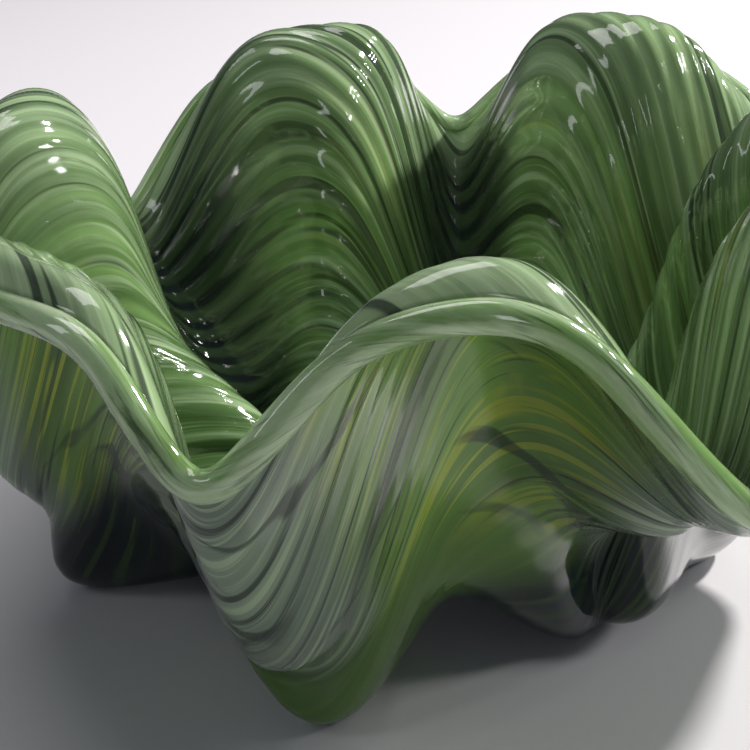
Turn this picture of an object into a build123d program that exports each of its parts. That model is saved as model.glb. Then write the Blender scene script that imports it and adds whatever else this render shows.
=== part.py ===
from build123d import *
import os

import numpy as np

# A blown, cased and deeply fluted art glass bowl, in millimetres, +Z up, standing on z = 0.
# One wall, drawn out into seven folds. At a crest the wall climbs from inside, curls over and
# hangs outward above a hollow. At a trough it runs out low as a spout, with a bulging chin
# and a lobe of the base under it. Azimuth 0 is the front, -Y, and grows towards +X.
# The wall is four fused layers that share their faces, and a thick trailed bead on the rim.

FOLDS = 7
BASE_RADIUS = 22.0       # flat middle of the bowl's floor
BASE_HEIGHT = 9.0        # mid-wall height of that flat
BEAD_RADIUS = 4.3        # section radius of the bead on the rim

# Layers of the wall from inside to outside, each with its thickness.
LAYERS = {
    "inner_clear_gather": 1.8,
    "leaf_green_coat": 1.0,
    "celadon_opal_coat": 0.8,
    "outer_clear_casing": 1.6,
}
WALL = sum(LAYERS.values())
BEAD_SUNK = (BEAD_RADIUS**2 - (WALL / 2) ** 2) ** 0.5    # bead's centre beyond the wall's edge

# How sharply each row of the wall pinches at a trough, from the base (first) to the rim.
# 0 is an even wave, and towards 1 the crest is broad and the trough narrow.
ROW_PINCH = (0.3, 0.3, 0.3, 0.3, 0.25, 0.15, 0.15, 0.3, 0.5, 0.66, 0.76, 0.78)


def crest(azimuth, low=None, rim=152, height=150, waist=100, lip=None, base=(50, 15),
          hip=None, belly=None):
    """Control rows (radius, height) of the wall where it curls over, base first."""
    lip = 0.955 * height if lip is None else lip
    hip = hip or (0.5 * base[0] + 0.46 * waist, 0.18 * height)
    belly = belly or (0.93 * waist, 0.33 * height)
    reach = rim - waist
    rows = [
        (BASE_RADIUS, BASE_HEIGHT),
        (BASE_RADIUS + 8, BASE_HEIGHT),
        base,
        hip,
        belly,
        (waist - 2, 0.50 * height),
        (waist + 0.03 * reach, 0.70 * height),
        (waist + 0.18 * reach, 0.90 * height),
        (waist + 0.45 * reach, 1.04 * height),
        (waist + 0.80 * reach, 1.07 * height),
        (rim - 5, 1.035 * lip),
        (rim + 2, lip - 3),
    ]
    return {"azimuth": azimuth, "low": azimuth if low is None else low, "rows": rows}


def trough(azimuth, low=None, rim=165, lip=106, chin=(126, 45), recess=(104, 26), foot=(110, 2.9),
           pinch=1.0):
    """Control rows (radius, height) of the wall where it spreads into a spout, base first."""
    run = rim - chin[0]
    rise = lip - chin[1]
    rows = [
        (BASE_RADIUS, BASE_HEIGHT),
        (BASE_RADIUS + 8, BASE_HEIGHT),
        (0.62 * foot[0], foot[1] + 1.5),
        (0.97 * foot[0], foot[1] - 3),
        (foot[0] + 7, foot[1] + 7),
        recess,
        (chin[0] - 2, chin[1] - 10),
        (chin[0] + 6, chin[1] + 4),
        (chin[0] + 0.45 * run + 5, chin[1] + 0.45 * rise),
        (chin[0] + 0.75 * run + 3, chin[1] + 0.73 * rise),
        (rim - 4, 0.94 * lip),
        (rim + 2, lip),
    ]
    return {"azimuth": azimuth, "low": azimuth if low is None else low, "rows": rows, "pinch": pinch}


CRESTS = [
    crest(-3, rim=151, height=145, waist=98, lip=157, base=(54, 18)),
    crest(42, rim=150, height=157, waist=88, base=(62, 5), hip=(90, 14), belly=(82, 50)),
    crest(104, low=116, rim=152, waist=74, base=(42, 13), hip=(50, 25), belly=(60, 48)),
    crest(153, rim=151, height=151),
    crest(203.5, rim=151, height=146),
    crest(265, low=262, rim=162, height=146, waist=112, base=(42, 14), hip=(56, 27), belly=(76, 50)),
    crest(308, low=302, rim=163, height=132, waist=120, lip=141, hip=(92, 28), belly=(112, 48)),
]
TROUGHS = [
    trough(23, low=32, rim=163, lip=98, chin=(116, 73), recess=(66, 50), foot=(66, 2.9), pinch=0.25),
    trough(75, low=90, recess=(96, 26), foot=(88, 2.9)),
    trough(126.5),
    trough(178.5, rim=160, lip=103, pinch=1.45),
    trough(230, lip=80, pinch=1.3),
    trough(282, low=281, chin=(150, 52), recess=(134, 33), foot=(132, 2.9)),
    trough(335, low=336.5, rim=166, lip=106, chin=(138, 45), recess=(110, 28), foot=(112, 2.9)),
]

ROWS = len(ROW_PINCH)
SECTIONS_PER_HALF = 12       # sections across half a fold
RINGS = 26                   # points on one section, from the flat of the base to the rim
BEAD_POINTS = 9              # points around the bead's section
STEP = 1e-5                  # parameter step of the surface's slopes
AROUND = np.arange(2 * FOLDS * SECTIONS_PER_HALF) / (2 * FOLDS * SECTIONS_PER_HALF)
LEVELS = np.linspace(0, 1, RINGS)


def around(values, start, u):
    """Closed smooth curve through equally spaced values, the first of them at u = start."""
    count = len(values)
    ring = np.zeros((count, count))
    for i in range(count):
        ring[i, i] += 4 / 6
        ring[i, (i - 1) % count] += 1 / 6
        ring[i, (i + 1) % count] += 1 / 6
    knots = np.linalg.solve(ring, np.array(values, dtype=float))
    place = (u - start) * count
    span = np.floor(place).astype(int)
    f = place - span
    weights = (
        (1 - f) ** 3 / 6,
        (3 * f**3 - 6 * f**2 + 4) / 6,
        (-3 * f**3 + 3 * f**2 + 3 * f + 1) / 6,
        f**3 / 6,
    )
    return sum(w * knots[(span + j - 1) % count] for j, w in enumerate(weights))


def row_weights(v):
    """Clamped cubic B-spline weights of the control rows at v, 0 to 1."""
    knots = np.concatenate([np.zeros(3), np.linspace(0, 1, ROWS - 2), np.ones(3)])
    v = np.clip(np.asarray(v, dtype=float), 0, 1 - 1e-12)[..., None]
    weights = ((v >= knots[:-1]) & (v < knots[1:])).astype(float)
    for degree in (1, 2, 3):
        left = knots[degree:-1] - knots[: -degree - 1]
        right = knots[degree + 1 :] - knots[1:-degree]
        rising = (v - knots[: -degree - 1]) / np.where(left > 0, left, 1) * weights[..., :-1]
        falling = (knots[degree + 1 :] - v) / np.where(right > 0, right, 1) * weights[..., 1:]
        weights = rising + falling
    return weights


def middle(u, v):
    """Points of the wall's middle surface at u (around) and v (base to rim)."""
    turn = 2 * np.pi * FOLDS * u
    even = np.arange(2 * FOLDS) / (2 * FOLDS)
    first_trough = 0.5 / FOLDS
    sides = [fold for pair in zip(CRESTS, TROUGHS) for fold in pair]
    high = around([fold["azimuth"] for fold in sides] - 360 * even, 0, u)
    low = around([fold["low"] for fold in sides] - 360 * even, 0, u)
    pinch = around([fold["pinch"] for fold in TROUGHS], first_trough, u)
    weights = row_weights(v)
    radius, height, azimuth = 0, 0, 0
    for j in range(ROWS):
        narrow = np.minimum(ROW_PINCH[j] * pinch, 0.97)
        share = 0.5 + 0.5 * np.cos(turn - narrow * np.sin(turn))
        rise = np.clip((j - 3) / (ROWS - 6), 0, 1)
        weight = weights[..., j]
        for axis in (0, 1):
            on_crest = around([fold["rows"][j][axis] for fold in CRESTS], 0, u)
            in_trough = around([fold["rows"][j][axis] for fold in TROUGHS], first_trough, u)
            value = weight * (share * on_crest + (1 - share) * in_trough)
            if axis == 0:
                radius = radius + value
            else:
                height = height + value
        azimuth = azimuth + weight * (360 * u + low * (1 - rise) + high * rise)
    angle = np.radians(azimuth)
    return np.stack([radius * np.sin(angle), -radius * np.cos(angle), height], axis=-1)


def frame_at(u, v):
    """Point, outward normal and rimward direction of the middle surface."""
    ahead = np.minimum(v + STEP, 1)
    behind = np.maximum(v - STEP, 0)
    along = middle(u + STEP, v) - middle(u - STEP, v)
    rimward = middle(u, ahead) - middle(u, behind)
    normal = np.cross(along, rimward)
    normal /= np.linalg.norm(normal, axis=-1, keepdims=True)
    rimward /= np.linalg.norm(rimward, axis=-1, keepdims=True)
    return middle(u, v), normal, rimward


def strip(first, last):
    """Ruled face between two edges."""
    return Shell.make_loft([Wire([first]), Wire([last])], ruled=True).faces()[0]


def sectors(sections):
    """Smooth faces through open sections that stand around the bowl, one face per half fold."""
    wires = [Wire([Edge.make_spline([tuple(p) for p in row])]) for row in sections]
    wires.append(wires[0])
    faces = []
    for k in range(0, len(sections), SECTIONS_PER_HALF):
        faces.append(Shell.make_loft(wires[k : k + SECTIONS_PER_HALF + 1]).faces()[0])
    return faces


def reach(point):
    return (point.X**2 + point.Y**2) ** 0.5


def base_edge(face):
    """The sector's edge round the flat middle of the floor."""
    return min(face.edges(), key=lambda edge: max(reach(edge @ 0), reach(edge @ 1)))


def rim_edge(face):
    """The sector's edge along the rim."""
    return max(face.edges(), key=lambda edge: min(reach(edge @ 0), reach(edge @ 1)))


def skin(depth):
    """Faces of the wall at a depth from its middle surface, outward positive."""
    columns = []
    for v in LEVELS:
        point, normal, _ = frame_at(AROUND, np.full(len(AROUND), v))
        columns.append(point + depth * normal)
    return sectors(np.stack(columns, axis=1))


def layer_solid(inner, outer):
    """One layer of glass between two skins, closed along the rim and across the floor."""
    rims = [strip(rim_edge(a), rim_edge(b)) for a, b in zip(inner, outer)]
    floors = [Face(Wire([base_edge(face) for face in side])) for side in (inner, outer)]
    return Solid(Shell([*inner, *outer, *rims, *floors]))


def bead_points(u, turns):
    """Points on the bead's round section at u, one ring of points for each turn."""
    point, normal, rimward = frame_at(u, np.ones(len(u)))
    rings = []
    for turn in turns:
        offset = BEAD_RADIUS * np.cos(turn) * normal
        rise = (BEAD_SUNK + BEAD_RADIUS * np.sin(turn)) * rimward
        rings.append(point + offset + rise)
    return rings


def bead_solid():
    """The thick bead on the rim: a round rope of glass that sits on the wall's edge."""
    dip = np.arcsin(BEAD_SUNK / BEAD_RADIUS)
    turns = np.linspace(-dip, np.pi + dip, BEAD_POINTS)
    sides = sectors(np.stack(bead_points(AROUND, turns), axis=1))
    seats = []
    for side in sides:
        along = sorted(side.edges(), key=lambda edge: edge.length)[-2:]
        seats.append(strip(*along))
    return Solid(Shell([*sides, *seats]))


def ground_flat(solid):
    """The layer with everything below the table ground away, so that every lobe rests flat."""
    span = 3 * max(fold["rows"][-1][0] for fold in TROUGHS)
    waste = Pos(0, 0, -span / 2) * Box(span, span, span)
    return solid - waste


def build():
    """All nodes in the frame of the bowl's axis."""
    nodes = {}
    depth = -WALL / 2
    inner = skin(depth)
    for name, thickness in LAYERS.items():
        depth += thickness
        outer = skin(depth)
        nodes[name] = layer_solid(inner, outer)
        inner = outer
    nodes["outer_clear_casing"] = ground_flat(nodes["outer_clear_casing"])
    nodes["lip_bead"] = bead_solid()
    return nodes


def plan_centre():
    """Middle of the bowl's overall box in plan. Its widest points are all on the bead."""
    fine = np.linspace(0, 1, 4000, endpoint=False)
    edge = np.concatenate(bead_points(fine, np.linspace(0, np.pi, 60)))
    return (edge.min(axis=0) + edge.max(axis=0)) / 2


def main():
    centre = plan_centre()
    to_origin = Pos(-centre[0], -centre[1], 0)
    os.makedirs("parts", exist_ok=True)
    for name, solid in build().items():
        export_step(to_origin * solid, f"parts/{name}.step")
        print(f"{name}: {solid.volume / 1000:.1f} cm3")
    print(f"axis of the folds at {-centre[0]:.3f}, {-centre[1]:.3f}")


main()
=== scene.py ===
import math

import bpy
import numpy as np
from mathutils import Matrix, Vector


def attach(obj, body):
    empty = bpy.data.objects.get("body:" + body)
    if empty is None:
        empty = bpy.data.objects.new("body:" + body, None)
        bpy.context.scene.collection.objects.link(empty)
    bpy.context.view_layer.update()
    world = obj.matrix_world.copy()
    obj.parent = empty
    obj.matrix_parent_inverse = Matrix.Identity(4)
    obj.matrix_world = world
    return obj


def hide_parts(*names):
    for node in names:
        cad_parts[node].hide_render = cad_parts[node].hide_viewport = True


# Looks of the fluted art glass bowl. The shape follows the same rows as the CAD source, in
# millimetres, and is turned to metres when a mesh is made. The bowl is one fused vessel, so its
# four layers show as one cased wall, and the bead on the rim as a rope.

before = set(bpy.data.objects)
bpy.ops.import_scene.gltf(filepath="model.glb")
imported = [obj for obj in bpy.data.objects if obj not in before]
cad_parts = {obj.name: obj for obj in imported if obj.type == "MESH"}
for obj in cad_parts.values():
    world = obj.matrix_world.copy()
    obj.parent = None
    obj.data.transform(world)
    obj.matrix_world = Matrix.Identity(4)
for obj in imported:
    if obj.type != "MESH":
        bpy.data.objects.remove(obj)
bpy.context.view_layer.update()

MM = 0.001
FOLDS = 7
BASE_RADIUS = 22.0       # of the flat middle of the floor
BASE_HEIGHT = 9.0
BEAD_RADIUS = 4.3
LAYERS = {               # thickness of each CAD layer, from the inside out
    "inner_clear_gather": 1.8,
    "leaf_green_coat": 1.0,
    "celadon_opal_coat": 0.8,
    "outer_clear_casing": 1.6,
}
WALL = sum(LAYERS.values())
BEAD_SUNK = (BEAD_RADIUS**2 - (WALL / 2) ** 2) ** 0.5
ROW_PINCH = (0.3, 0.3, 0.3, 0.3, 0.25, 0.15, 0.15, 0.3, 0.5, 0.66, 0.76, 0.78)
MOST_PINCH = 0.97
ROWS = len(ROW_PINCH)
LOW_ROWS = 3             # rows at the base that keep the low azimuth of their fold
AXIS = np.array([1.772, -2.977, 0.0])     # axis of the folds in the row frame


def crest(azimuth, low=None, rim=152, height=150, waist=100, lip=None, base=(50, 15),
          hip=None, belly=None):
    """Control rows (radius, height) of the wall where it curls over, base first."""
    lip = 0.955 * height if lip is None else lip
    hip = hip or (0.5 * base[0] + 0.46 * waist, 0.18 * height)
    belly = belly or (0.93 * waist, 0.33 * height)
    reach = rim - waist
    rows = [
        (BASE_RADIUS, BASE_HEIGHT),
        (BASE_RADIUS + 8, BASE_HEIGHT),
        base,
        hip,
        belly,
        (waist - 2, 0.50 * height),
        (waist + 0.03 * reach, 0.70 * height),
        (waist + 0.18 * reach, 0.90 * height),
        (waist + 0.45 * reach, 1.04 * height),
        (waist + 0.80 * reach, 1.07 * height),
        (rim - 5, 1.035 * lip),
        (rim + 2, lip - 3),
    ]
    return {"azimuth": azimuth, "low": azimuth if low is None else low, "rows": rows}


def trough(azimuth, low=None, rim=165, lip=106, chin=(126, 45), recess=(104, 26), foot=(110, 2.9),
           pinch=1.0):
    """Control rows (radius, height) of the wall where it spreads into a spout, base first."""
    run = rim - chin[0]
    rise = lip - chin[1]
    rows = [
        (BASE_RADIUS, BASE_HEIGHT),
        (BASE_RADIUS + 8, BASE_HEIGHT),
        (0.62 * foot[0], foot[1] + 1.5),
        (0.97 * foot[0], foot[1] - 3),
        (foot[0] + 7, foot[1] + 7),
        recess,
        (chin[0] - 2, chin[1] - 10),
        (chin[0] + 6, chin[1] + 4),
        (chin[0] + 0.45 * run + 5, chin[1] + 0.45 * rise),
        (chin[0] + 0.75 * run + 3, chin[1] + 0.73 * rise),
        (rim - 4, 0.94 * lip),
        (rim + 2, lip),
    ]
    return {"azimuth": azimuth, "low": azimuth if low is None else low, "rows": rows, "pinch": pinch}


CRESTS = [
    crest(-3, rim=151, height=145, waist=98, lip=157, base=(54, 18)),
    crest(42, rim=150, height=157, waist=88, base=(62, 5), hip=(90, 14), belly=(82, 50)),
    crest(104, low=116, rim=152, waist=74, base=(42, 13), hip=(50, 25), belly=(60, 48)),
    crest(153, rim=151, height=151),
    crest(203.5, rim=151, height=146),
    crest(265, low=262, rim=162, height=146, waist=112, base=(42, 14), hip=(56, 27), belly=(76, 50)),
    crest(308, low=302, rim=163, height=132, waist=120, lip=141, hip=(92, 28), belly=(112, 48)),
]
TROUGHS = [
    trough(23, low=32, rim=163, lip=98, chin=(116, 73), recess=(66, 50), foot=(66, 2.9), pinch=0.25),
    trough(75, low=90, recess=(96, 26), foot=(88, 2.9)),
    trough(126.5),
    trough(178.5, rim=160, lip=103, pinch=1.45),
    trough(230, lip=80, pinch=1.3),
    trough(282, low=281, chin=(150, 52), recess=(134, 33), foot=(132, 2.9)),
    trough(335, low=336.5, rim=166, lip=106, chin=(138, 45), recess=(110, 28), foot=(112, 2.9)),
]

COLUMNS = 770            # points around the bowl
LEVELS = 160             # points from the flat of the base to the rim
LIP_POINTS = 20          # points around the rope's section
STEP = 1e-5              # step in u and v for the surface's directions
TWIST = 0.30             # how far the streaks wind round the bowl from floor to rim, in turns
FRONT_SPOUT = 309        # bearing of the front spout's foot in the swirl, in degrees, where the painted shade on the base is lighter
OPTIC_RIBS = 64
RIBS_BEGIN = 0.20        # height at which the ribs begin, as a share of the way to the rim
RIBS_RISE = 0.15         # share over which they reach their full height
RIBS_END = 0.97          # where they have faded out again
RIBS_FALL = 0.10         # share over which they fade
INNER_RELIEF = 0.7       # height of the optic ribs inside, in mm
OUTER_RELIEF = 0.16      # height of the ribs outside, in mm
# Painted shade falls on one flank of each fold, outside and inside; these two say where.
SHADE_FLANK_OUTSIDE = 0.22     # where the outside's painted shade is darkest, in turns of a fold past its crest
SHADE_FLANK_INSIDE = 0.42
CREST_PINCH = 0.45       # how much narrower the crests' colour is than the troughs'
OUTSIDE, INSIDE = 0, 1   # material slots of the wall

DEEP_GREEN = (0.095, 0.180, 0.058, 1)
LEAF_GREEN = (0.270, 0.460, 0.150, 1)
MOSS = (0.110, 0.230, 0.040, 1)
FERN = (0.240, 0.470, 0.085, 1)
SAGE = (0.600, 0.780, 0.470, 1)
CELADON = (0.170, 0.225, 0.165, 1)
PALE_CELADON = (0.290, 0.380, 0.260, 1)
LIME = (0.560, 0.680, 0.060, 1)
BOTTLE = (0.008, 0.018, 0.013, 1)
NAVY_SHADE = (0.006, 0.011, 0.020, 1)
PAINTED_AMBER_GLOW = (0.400, 0.320, 0.060, 1)

ROPE_TURNS = 9           # turns of the rope's streaks round its section on the way round the rim
WANDER = (0.10, 0.10, 0.30)               # how far the streaks wander in the swirl
GLASS_IOR = 1.5

TABLE = 4                # half the table's width, in metres
LIT_POINT = Vector((0, 0, 0.07))
LAMPS = [                # name, place, size or width and height, power in watts, colour
    ("key", (2.15, 1.40, 1.95), 0.26, 134, (1.0, 0.97, 0.95)),
    ("overhead", (-0.25, 0.45, 1.6), (1.1, 0.6), 8, (1.0, 0.97, 1.0)),
    ("side_window", (-1.2, -0.35, 0.9), (0.20, 0.7), 1.4, (0.95, 0.97, 1.0)),
    ("front_window", (0.25, -1.5, 0.60), (0.14, 0.6), 0.9, (0.95, 0.97, 1.0)),
]
CLUSTER_CORNER = (1.25, -0.15, 0.75)
CLUSTER_ROWS = 3
CLUSTER_COLUMNS = 4
CLUSTER_GAP = 0.09       # between the cluster's lamps
CLUSTER_LEAN = 0.05      # each row nearer to the bowl than the one under it
CLUSTER_SIZE = 0.034
CLUSTER_POWER = 0.5
CAMERA_TARGET = Vector((-0.02823, -0.00298, 0.0665))
CAMERA_DISTANCE = 0.530
CAMERA_ELEVATION = 24.5  # degrees
CAMERA_LENS = 76.6       # mm


def around(values, start, u):
    """Closed smooth curve through equally spaced values, the first of them at u = start."""
    count = len(values)
    ring = np.zeros((count, count))
    for i in range(count):
        ring[i, i] += 4 / 6
        ring[i, (i - 1) % count] += 1 / 6
        ring[i, (i + 1) % count] += 1 / 6
    knots = np.linalg.solve(ring, np.array(values, dtype=float))
    place = (u - start) * count
    span = np.floor(place).astype(int)
    f = place - span
    weights = (
        (1 - f) ** 3 / 6,
        (3 * f**3 - 6 * f**2 + 4) / 6,
        (-3 * f**3 + 3 * f**2 + 3 * f + 1) / 6,
        f**3 / 6,
    )
    return sum(w * knots[(span + j - 1) % count] for j, w in enumerate(weights))


def row_weights(v):
    """Clamped cubic B-spline weights of the control rows at v, 0 to 1."""
    knots = np.concatenate([np.zeros(3), np.linspace(0, 1, ROWS - 2), np.ones(3)])
    v = np.clip(np.asarray(v, dtype=float), 0, 1 - 1e-12)[..., None]
    weights = ((v >= knots[:-1]) & (v < knots[1:])).astype(float)
    for degree in (1, 2, 3):
        left = knots[degree:-1] - knots[: -degree - 1]
        right = knots[degree + 1 :] - knots[1:-degree]
        rising = (v - knots[: -degree - 1]) / np.where(left > 0, left, 1) * weights[..., :-1]
        falling = (knots[degree + 1 :] - v) / np.where(right > 0, right, 1) * weights[..., 1:]
        weights = rising + falling
    return weights


def middle(u, v):
    """Points of the wall's middle surface for each u (around) and each v (base to rim)."""
    u = u[:, None]
    turn = 2 * np.pi * FOLDS * u
    even = np.arange(2 * FOLDS) / (2 * FOLDS)
    first_trough = 0.5 / FOLDS
    sides = [fold for pair in zip(CRESTS, TROUGHS) for fold in pair]
    high = around([fold["azimuth"] for fold in sides] - 360 * even, 0, u)
    low = around([fold["low"] for fold in sides] - 360 * even, 0, u)
    pinch = around([fold["pinch"] for fold in TROUGHS], first_trough, u)
    weights = row_weights(v)[None]
    radius, height, azimuth = 0, 0, 0
    for j in range(ROWS):
        narrow = np.minimum(ROW_PINCH[j] * pinch, MOST_PINCH)
        share = 0.5 + 0.5 * np.cos(turn - narrow * np.sin(turn))
        rise = np.clip((j - LOW_ROWS) / (ROWS - 2 * LOW_ROWS), 0, 1)
        weight = weights[..., j]
        on_crest = [around([fold["rows"][j][axis] for fold in CRESTS], 0, u) for axis in (0, 1)]
        in_trough = [
            around([fold["rows"][j][axis] for fold in TROUGHS], first_trough, u) for axis in (0, 1)
        ]
        radius = radius + weight * (share * on_crest[0] + (1 - share) * in_trough[0])
        height = height + weight * (share * on_crest[1] + (1 - share) * in_trough[1])
        azimuth = azimuth + weight * (360 * u + low * (1 - rise) + high * rise)
    angle = np.radians(azimuth)
    return np.stack([radius * np.sin(angle), -radius * np.cos(angle), height], axis=-1)


def frame_at(u, v):
    """Points, outward normals and rimward directions of the middle surface, on a grid."""
    ahead = np.minimum(v + STEP, 1)
    behind = np.maximum(v - STEP, 0)
    along = middle(u + STEP, v) - middle(u - STEP, v)
    rimward = middle(u, ahead) - middle(u, behind)
    normal = np.cross(along, rimward)
    normal /= np.linalg.norm(normal, axis=-1, keepdims=True)
    rimward /= np.linalg.norm(rimward, axis=-1, keepdims=True)
    return middle(u, v), normal, rimward


def swirl_of(u, v):
    """Coordinates that wind round the bowl with the streaks: two across them, one along."""
    turn = 2 * np.pi * (u[:, None] - TWIST * v[None])
    along = np.broadcast_to(v[None], turn.shape)
    return np.stack([np.cos(turn), np.sin(turn), along], -1)


def ribs_of(u, v):
    """Height of the optic ribs from 0 to 1, which fade out near the floor and near the rim."""
    wave = 0.5 + 0.5 * np.cos(2 * np.pi * OPTIC_RIBS * (u[:, None] - TWIST * v[None]))
    fade = np.clip((v - RIBS_BEGIN) / RIBS_RISE, 0, 1) * np.clip((RIBS_END - v) / RIBS_FALL, 0, 1)
    return wave * fade[None]


def shade_flank_wave(u, place):
    """1 on the flank of each fold where the painted shade is darkest, at a place in turns past its
    crest.
    """
    wave = np.cos(2 * np.pi * (FOLDS * u - place))
    return np.repeat(wave, LEVELS)


def crest_share(u, levels):
    """1 on the line of a crest and 0 on the line of a trough."""
    turn = 2 * np.pi * FOLDS * u
    share = 0.5 + 0.5 * np.cos(turn - CREST_PINCH * np.sin(turn))
    return np.repeat(share, levels)


def grid_faces(first, flip=False):
    """Quads of one side of the wall, a grid that is closed around the bowl."""
    i, j = np.meshgrid(np.arange(COLUMNS), np.arange(LEVELS - 1), indexing="ij")
    near = i * LEVELS + j
    ahead = (i + 1) % COLUMNS * LEVELS + j
    corners = [near, ahead, ahead + 1, near + 1]
    quads = first + np.stack(corners[::-1] if flip else corners, -1)
    return quads.reshape(-1, 4)


def ring_faces(a, b):
    """Quads between two closed rows of points."""
    return np.stack([a, np.roll(a, -1), np.roll(b, -1), b], -1)


def new_object(name, points, faces, attributes, zones=None):
    """A smooth mesh object from points in mm about the folds' axis."""
    mesh = bpy.data.meshes.new(name)
    mesh.from_pydata(((points + AXIS) * MM).tolist(), [], faces)
    for key, values in attributes.items():
        kind, field = ("FLOAT_VECTOR", "vector") if values.ndim == 2 else ("FLOAT", "value")
        made = mesh.attributes.new(key, kind, "POINT")
        made.data.foreach_set(field, values.astype(np.float32).ravel())
    if zones is not None:
        mesh.polygons.foreach_set("material_index", zones)
    mesh.shade_smooth()
    made = bpy.data.objects.new(name, mesh)
    bpy.context.scene.collection.objects.link(made)
    return made


def wall_faces():
    """Faces of the closed wall and the material slot of each: two sides, rim edge and floor."""
    count = COLUMNS * LEVELS
    first = np.arange(COLUMNS) * LEVELS
    rim = ring_faces(first + LEVELS - 1, count + first + LEVELS - 1)
    parts = [grid_faces(0), grid_faces(count, flip=True), rim]
    faces = [face for part in parts for face in part.tolist()]
    zones = [OUTSIDE] * len(parts[0]) + [INSIDE] * len(parts[1]) + [OUTSIDE] * len(rim)
    edges = list(zip(first.tolist(), np.roll(first, -1).tolist()))
    faces += [(2 * count, b, a) for a, b in edges]
    faces += [(2 * count + 1, count + a, count + b) for a, b in edges]
    zones += [OUTSIDE] * COLUMNS + [INSIDE] * COLUMNS
    return faces, zones


def on_wall(outside, inside):
    """A value for each point of the wall: outside, inside, and zero at the two floor centres."""
    centres = np.zeros((2,) + outside.shape[1:])
    return np.concatenate([outside, inside, centres])


def glass_wall():
    """The cased wall as one closed sheet: outside, inside, edge under the lip and floor."""
    u = np.arange(COLUMNS) / COLUMNS
    v = np.linspace(0, 1, LEVELS)
    point, normal, _ = frame_at(u, v)
    ribs = ribs_of(u, v)
    outside = point + (WALL / 2 - OUTER_RELIEF * (1 - ribs[..., None])) * normal
    inside = point - (WALL / 2 - INNER_RELIEF * (1 - ribs[..., None])) * normal
    outside[..., 2] = np.maximum(outside[..., 2], 0)
    centres = np.array([outside[:, 0].mean(axis=0), inside[:, 0].mean(axis=0)])
    points = np.concatenate([outside.reshape(-1, 3), inside.reshape(-1, 3), centres])
    faces, zones = wall_faces()
    swirl = swirl_of(u, v).reshape(-1, 3)
    ribs = ribs.reshape(-1)
    share = crest_share(u, LEVELS)
    attributes = {
        "swirl": on_wall(swirl, swirl),
        "rib": on_wall(ribs, ribs),
        "crest": on_wall(share, share),
        # where the painted shade falls on one flank of each fold, outside and inside
        "shade_flank": on_wall(shade_flank_wave(u, SHADE_FLANK_OUTSIDE), shade_flank_wave(u, SHADE_FLANK_INSIDE)),
    }
    return new_object("glass_wall", points, faces, attributes, zones)


def lip_rope():
    """The trailed rope on the rim. Its swirl winds round its section on the way round the bowl."""
    u = np.arange(COLUMNS) / COLUMNS
    point, normal, rimward = (part[:, 0] for part in frame_at(u, np.array([1.0])))
    turns = np.linspace(0, 2 * np.pi, LIP_POINTS, endpoint=False)
    rings = []
    for turn in turns:
        out = BEAD_RADIUS * np.cos(turn) * normal
        rise = (BEAD_SUNK + BEAD_RADIUS * np.sin(turn)) * rimward
        rings.append(point + out + rise)
    points = np.stack(rings, 1)
    index = np.arange(COLUMNS)[:, None] * LIP_POINTS + np.arange(LIP_POINTS)
    ahead = np.roll(index, -1, axis=0)
    corners = [index, ahead, np.roll(ahead, -1, axis=1), np.roll(index, -1, axis=1)]
    faces = np.stack(corners, -1).reshape(-1, 4).tolist()
    bearing = np.broadcast_to(2 * np.pi * u[:, None], index.shape)
    winding = 0.5 * np.cos(turns + ROPE_TURNS * bearing)
    attributes = {
        "swirl": np.stack([np.cos(bearing), np.sin(bearing), winding], -1).reshape(-1, 3),
        "crest": crest_share(u, LIP_POINTS),
    }
    return new_object("lip_rope", points.reshape(-1, 3), faces, attributes)


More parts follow.
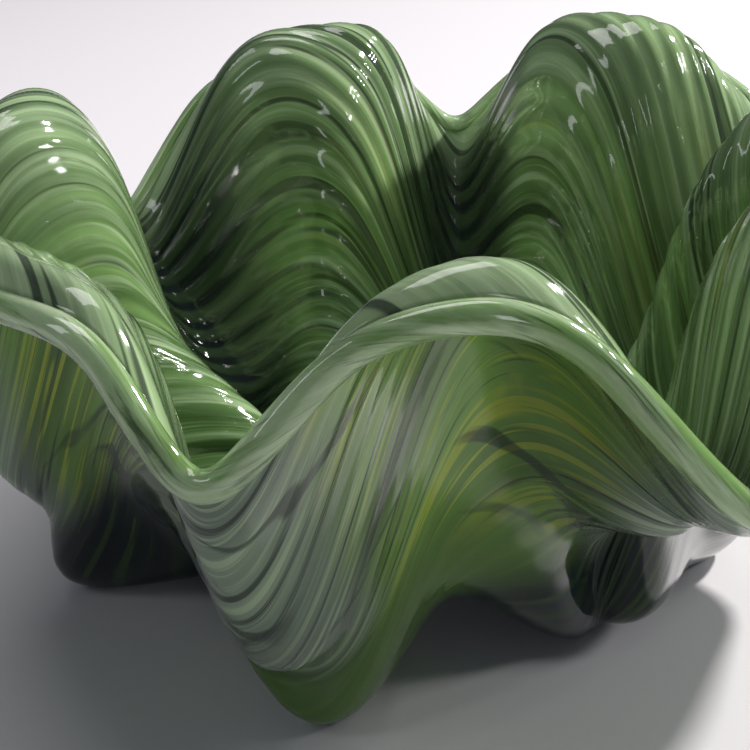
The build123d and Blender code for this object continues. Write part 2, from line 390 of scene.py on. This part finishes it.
class Tree:
    """Short calls that add shader nodes to one material."""

    def __init__(self, name):
        self.material = bpy.data.materials.new(name)
        self.material.use_nodes = True
        self.nodes = self.material.node_tree.nodes
        self.links = self.material.node_tree.links
        self.shader = self.nodes["Principled BSDF"]

    def put(self, value, socket):
        """Links a socket, or sets a plain value."""
        if isinstance(value, bpy.types.NodeSocket):
            self.links.new(value, socket)
        else:
            socket.default_value = value

    def attribute(self, name, output="Fac"):
        """A point attribute of the mesh."""
        node = self.nodes.new("ShaderNodeAttribute")
        node.attribute_name = name
        return node.outputs[output]

    def third(self, vector):
        """The third part of a vector."""
        node = self.nodes.new("ShaderNodeSeparateXYZ")
        self.put(vector, node.inputs["Vector"])
        return node.outputs["Z"]

    def vector_maths(self, operation, *parts, output="Vector"):
        """One step of arithmetic on vectors."""
        node = self.nodes.new("ShaderNodeVectorMath")
        node.operation = operation
        for socket, part in zip(node.inputs, parts):
            self.put(part, socket)
        return node.outputs[output]

    def facing(self, vector, degrees):
        """How far the first two parts of a vector point along one bearing, from -1 to 1."""
        bearing = (math.cos(math.radians(degrees)), math.sin(math.radians(degrees)), 0)
        return self.vector_maths("DOT_PRODUCT", vector, bearing, output="Value")

    def stretched(self, vector, across, along, shift=(0, 0, 0)):
        """A vector scaled across and along the streaks."""
        node = self.nodes.new("ShaderNodeMapping")
        self.put(vector, node.inputs["Vector"])
        node.inputs["Scale"].default_value = (across, across, along)
        node.inputs["Location"].default_value = shift
        return node.outputs["Vector"]

    def noise(self, vector, detail, roughness=0.5, distortion=0.0, output="Fac"):
        """Noise at the vector's own scale."""
        node = self.nodes.new("ShaderNodeTexNoise")
        self.put(vector, node.inputs["Vector"])
        node.inputs["Scale"].default_value = 1.0
        node.inputs["Detail"].default_value = detail
        node.inputs["Roughness"].default_value = roughness
        node.inputs["Distortion"].default_value = distortion
        return node.outputs[output]

    def ramp(self, factor, low, high, to_low=0.0, to_high=1.0):
        """A factor spread from one range to another, with smooth ends."""
        node = self.nodes.new("ShaderNodeMapRange")
        node.interpolation_type = "SMOOTHSTEP"
        self.put(factor, node.inputs["Value"])
        node.inputs["From Min"].default_value = low
        node.inputs["From Max"].default_value = high
        node.inputs["To Min"].default_value = to_low
        node.inputs["To Max"].default_value = to_high
        return node.outputs["Result"]

    def product(self, a, b):
        """Two factors multiplied."""
        node = self.nodes.new("ShaderNodeMath")
        node.operation = "MULTIPLY"
        self.put(a, node.inputs[0])
        self.put(b, node.inputs[1])
        return node.outputs["Value"]

    def mixed(self, factor, a, b):
        """A colour between a and b."""
        node = self.nodes.new("ShaderNodeMix")
        node.data_type = "RGBA"
        self.put(factor, node.inputs["Factor"])
        self.put(a, node.inputs["A"])
        self.put(b, node.inputs["B"])
        return node.outputs["Result"]

    def above(self, factor, low, high, colour, tint, most=1.0):
        """A colour that turns to a tint, at most by a share, as a factor rises past a range."""
        return self.mixed(self.ramp(factor, low, high, 0.0, most), colour, tint)

    def below(self, factor, low, high, colour, tint, most=1.0):
        """A colour that turns to a tint, at most by a share, as a factor falls past a range."""
        return self.mixed(self.ramp(factor, low, high, most, 0.0), colour, tint)

    def bump(self, height, distance, strength):
        """A normal tilted by a height, whose full distance is in metres."""
        node = self.nodes.new("ShaderNodeBump")
        node.inputs["Strength"].default_value = strength
        node.inputs["Distance"].default_value = distance
        self.put(height, node.inputs["Height"])
        return node.outputs["Normal"]


def meander(tree, vector):
    """A swirl vector pushed about a little, so that the streaks wander."""
    push = tree.noise(tree.stretched(vector, 2.2, 2.5), 2.0, output="Color")
    centred = tree.vector_maths("SUBTRACT", push, (0.5, 0.5, 0.5))
    return tree.vector_maths("MULTIPLY_ADD", centred, WANDER, vector)


def glassy(shader, translucent, transmission, roughness=0.10, coat=1.0):
    """Constant settings of cased opal glass: a milky body under a clear, smooth coat."""
    shader.inputs["Subsurface Weight"].default_value = translucent
    shader.inputs["Subsurface Radius"].default_value = (0.45, 1.0, 0.30)
    shader.inputs["Subsurface Scale"].default_value = 0.006
    shader.inputs["Transmission Weight"].default_value = transmission
    shader.inputs["Roughness"].default_value = roughness
    shader.inputs["IOR"].default_value = GLASS_IOR
    shader.inputs["Specular IOR Level"].default_value = 0.12
    shader.inputs["Coat Weight"].default_value = coat
    shader.inputs["Coat Roughness"].default_value = 0.02
    shader.inputs["Coat IOR"].default_value = GLASS_IOR


def painted_fold_shade(tree, colour, level):
    """A colour with painted shade: darkened on one flank of each fold and in the troughs."""
    wall = tree.product(tree.ramp(level, 0.84, 0.985, 0.97, 0.0), tree.ramp(level, 0.16, 0.40))
    flank = tree.product(tree.ramp(tree.attribute("shade_flank"), 0.45, 0.95, 0.0, 0.85), wall)
    trough_shade = tree.product(tree.ramp(tree.attribute("crest"), 0.10, 0.50, 0.97, 0.0), wall)
    colour = tree.mixed(flank, colour, BOTTLE)
    return tree.mixed(trough_shade, colour, BOTTLE)


def inside_glass():
    """Leaf green under the clear gather, streaked along the swirl and banded by the ribs, with a
    painted amber glow, a painted reflection paler towards the rim and painted shade in the folds.
    """
    tree = Tree("leaf_green_cased")
    own = tree.attribute("swirl", "Vector")
    level = tree.third(own)
    swirl = meander(tree, own)
    broad = tree.noise(tree.stretched(swirl, 3.2, 2.0), 3.0, 0.6)
    fine = tree.noise(tree.stretched(swirl, 34.0, 2.4, (3, 1, 0)), 4.0, 0.62)
    threads = tree.noise(tree.stretched(swirl, 15.0, 1.6, (7, 2, 5)), 2.0, 0.5, 0.4)
    glow = tree.noise(tree.stretched(swirl, 2.4, 1.2, (9, 4, 2)), 2.0)
    colour = tree.above(broad, 0.34, 0.62, DEEP_GREEN, LEAF_GREEN)
    colour = tree.above(fine, 0.44, 0.62, colour, SAGE, 0.62)
    # Painted reflection: paler sage towards the rim, where the crowns mirror the bright light above.
    colour = tree.above(level, 0.55, 0.85, colour, SAGE, 0.45)
    colour = tree.above(threads, 0.57, 0.64, colour, BOTTLE, 0.8)
    lime = tree.product(tree.ramp(broad, 0.55, 0.70), tree.ramp(fine, 0.50, 0.60, 0.0, 0.8))
    colour = tree.mixed(lime, colour, LIME)
    # Painted glow: amber patches where light shining through the wall lights it, mostly low down.
    painted_glow = tree.product(tree.ramp(glow, 0.60, 0.72), tree.ramp(fine, 0.50, 0.62, 0.0, 0.8))
    painted_glow = tree.product(painted_glow, tree.ramp(level, 0.45, 0.75, 1.0, 0.1))
    colour = tree.mixed(painted_glow, colour, PAINTED_AMBER_GLOW)
    # Painted shade on one flank of each fold and in the troughs.
    colour = painted_fold_shade(tree, colour, level)
    colour = tree.above(tree.attribute("rib"), 0.10, 0.80, colour, DEEP_GREEN, 0.45)
    tree.put(colour, tree.shader.inputs["Base Color"])
    glassy(tree.shader, 0.16, 0.22)
    tree.put(tree.bump(fine, 0.0004, 0.35), tree.shader.inputs["Normal"])
    return tree.material


def milky_glass(tree, broad, fine):
    """The opal celadon of the spouts."""
    colour = tree.above(broad, 0.40, 0.64, CELADON, PALE_CELADON)
    return tree.above(fine, 0.50, 0.62, colour, SAGE, 0.5)


def vivid_glass(tree, swirl, broad, fine):
    """The clearer green under the curled crests, with lime and dark streaks and patches; the lime is
    partly the glass's own and partly a painted glow of light shining through the wall.
    """
    sharp = tree.noise(tree.stretched(swirl, 30.0, 1.3, (8, 3, 6)), 2.0, 0.6)
    patch = tree.noise(tree.stretched(swirl, 6.0, 3.4, (4, 9, 7)), 3.0, 0.6, 0.8)
    colour = tree.above(broad, 0.38, 0.62, MOSS, FERN)
    # Lime: partly the glass's own streaks, partly a painted glow of light shining through the wall.
    colour = tree.above(fine, 0.55, 0.66, colour, LIME, 0.7)
    colour = tree.above(sharp, 0.58, 0.62, colour, LIME, 0.75)
    colour = tree.below(sharp, 0.36, 0.41, colour, BOTTLE, 0.7)
    colour = tree.above(patch, 0.57, 0.66, colour, LIME, 0.65)
    return tree.below(patch, 0.34, 0.42, colour, BOTTLE, 0.40)


def outside_glass():
    """Milky celadon on the spouts, vivid green on the curled crests, painted shade on one flank of
    each fold and painted shade darkening the base.
    """
    tree = Tree("celadon_cased")
    own = tree.attribute("swirl", "Vector")
    level = tree.third(own)
    swirl = meander(tree, own)
    broad = tree.noise(tree.stretched(swirl, 3.0, 2.2, (2, 5, 1)), 3.0, 0.6)
    fine = tree.noise(tree.stretched(swirl, 26.0, 2.2, (1, 1, 4)), 4.0, 0.6)
    arcs = tree.noise(tree.stretched(swirl, 2.2, 26.0, (5, 0, 0)), 2.0, 0.5, 0.3)
    milky = milky_glass(tree, broad, fine)
    vivid = vivid_glass(tree, swirl, broad, fine)
    colour = tree.above(tree.attribute("crest"), 0.20, 0.70, milky, vivid)
    colour = tree.below(fine, 0.32, 0.44, colour, BOTTLE, 0.8)
    colour = tree.above(arcs, 0.58, 0.68, colour, BOTTLE, 0.7)
    # Painted shade on one flank of each fold.
    colour = tree.above(tree.attribute("shade_flank"), 0.2, 0.95, colour, BOTTLE, 0.5)
    # Painted shade darkens the base to navy, lighter and greener at the front spout's foot.
    base = tree.above(fine, 0.50, 0.66, NAVY_SHADE, MOSS, 0.30)
    base = tree.above(tree.facing(own, FRONT_SPOUT), 0.88, 0.97, base, FERN, 0.50)
    colour = tree.below(level, 0.37, 0.49, colour, base, 0.98)
    tree.put(colour, tree.shader.inputs["Base Color"])
    glassy(tree.shader, 0.16, 0.22, coat=0.75)
    tree.put(tree.bump(fine, 0.0005, 0.6), tree.shader.inputs["Normal"])
    return tree.material


def lip_glass():
    """Clear sage green of the rope, with long streaks along it."""
    tree = Tree("lip_cased")
    swirl = tree.attribute("swirl", "Vector")
    broad = tree.noise(tree.stretched(swirl, 5.0, 3.0), 4.0, 0.6)
    fine = tree.noise(tree.stretched(swirl, 7.0, 12.0, (4, 2, 0)), 3.0, 0.6)
    colour = tree.above(broad, 0.35, 0.65, LEAF_GREEN, SAGE)
    colour = tree.above(fine, 0.55, 0.7, colour, BOTTLE, 0.7)
    tree.put(colour, tree.shader.inputs["Base Color"])
    glassy(tree.shader, 0.3, 0.35, 0.06)
    return tree.material


def table_top():
    """A plain pale table, far wider than the view."""
    corners = [(-TABLE, -TABLE, 0), (TABLE, -TABLE, 0), (TABLE, TABLE, 0), (-TABLE, TABLE, 0)]
    mesh = bpy.data.meshes.new("table_top")
    mesh.from_pydata(corners, [], [(0, 1, 2, 3)])
    made = bpy.data.objects.new("table_top", mesh)
    bpy.context.scene.collection.objects.link(made)
    material = bpy.data.materials.new("pale_table")
    material.use_nodes = True
    shader = material.node_tree.nodes["Principled BSDF"]
    shader.inputs["Base Color"].default_value = (0.80, 0.78, 0.80, 1)
    shader.inputs["Roughness"].default_value = 0.45
    shader.inputs["Specular IOR Level"].default_value = 0.3
    mesh.materials.append(material)


def lamp(name, place, size, power, colour=(1, 1, 1)):
    """A soft area light that faces the bowl: round, or a rectangle if its size has two parts."""
    data = bpy.data.lights.new(name, "AREA")
    if isinstance(size, tuple):
        data.shape = "RECTANGLE"
        data.size, data.size_y = size
    else:
        data.shape = "DISK"
        data.size = size
    data.energy = power
    data.color = colour
    made = bpy.data.objects.new(name, data)
    bpy.context.scene.collection.objects.link(made)
    made.location = place
    made.rotation_euler = (LIT_POINT - Vector(place)).to_track_quat("-Z", "Y").to_euler()


def lights():
    """The lamps, a cluster of small round ones high at the right, and a dim sky for fill."""
    for name, place, size, power, colour in LAMPS:
        lamp(name, place, size, power, colour)
    x, y, z = CLUSTER_CORNER
    for row in range(CLUSTER_ROWS):
        for column in range(CLUSTER_COLUMNS):
            place = (x - CLUSTER_LEAN * row, y + CLUSTER_GAP * column, z + CLUSTER_GAP * row)
            lamp(f"cluster_{row}_{column}", place, CLUSTER_SIZE, CLUSTER_POWER)
    world = bpy.data.worlds.new("studio")
    bpy.context.scene.world = world
    world.use_nodes = True
    background = world.node_tree.nodes["Background"]
    background.inputs["Color"].default_value = (0.62, 0.68, 0.92, 1)
    background.inputs["Strength"].default_value = 0.078


def camera():
    """The camera, in front of the bowl and above it."""
    data = bpy.data.cameras.new("camera")
    data.lens = CAMERA_LENS
    made = bpy.data.objects.new("camera", data)
    bpy.context.scene.collection.objects.link(made)
    elevation = math.radians(CAMERA_ELEVATION)
    away = Vector((0, -math.cos(elevation), math.sin(elevation)))
    made.location = CAMERA_TARGET + CAMERA_DISTANCE * away
    made.rotation_euler = (CAMERA_TARGET - made.location).to_track_quat("-Z", "Y").to_euler()
    bpy.context.scene.camera = made


wall = glass_wall()
wall.data.materials.append(outside_glass())
wall.data.materials.append(inside_glass())
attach(wall, "root")
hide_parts(*LAYERS)
lip = lip_rope()
lip.data.materials.append(lip_glass())
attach(lip, "root")
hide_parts("lip_bead")
table_top()
lights()
camera()
bpy.context.scene.view_settings.view_transform = "Standard"
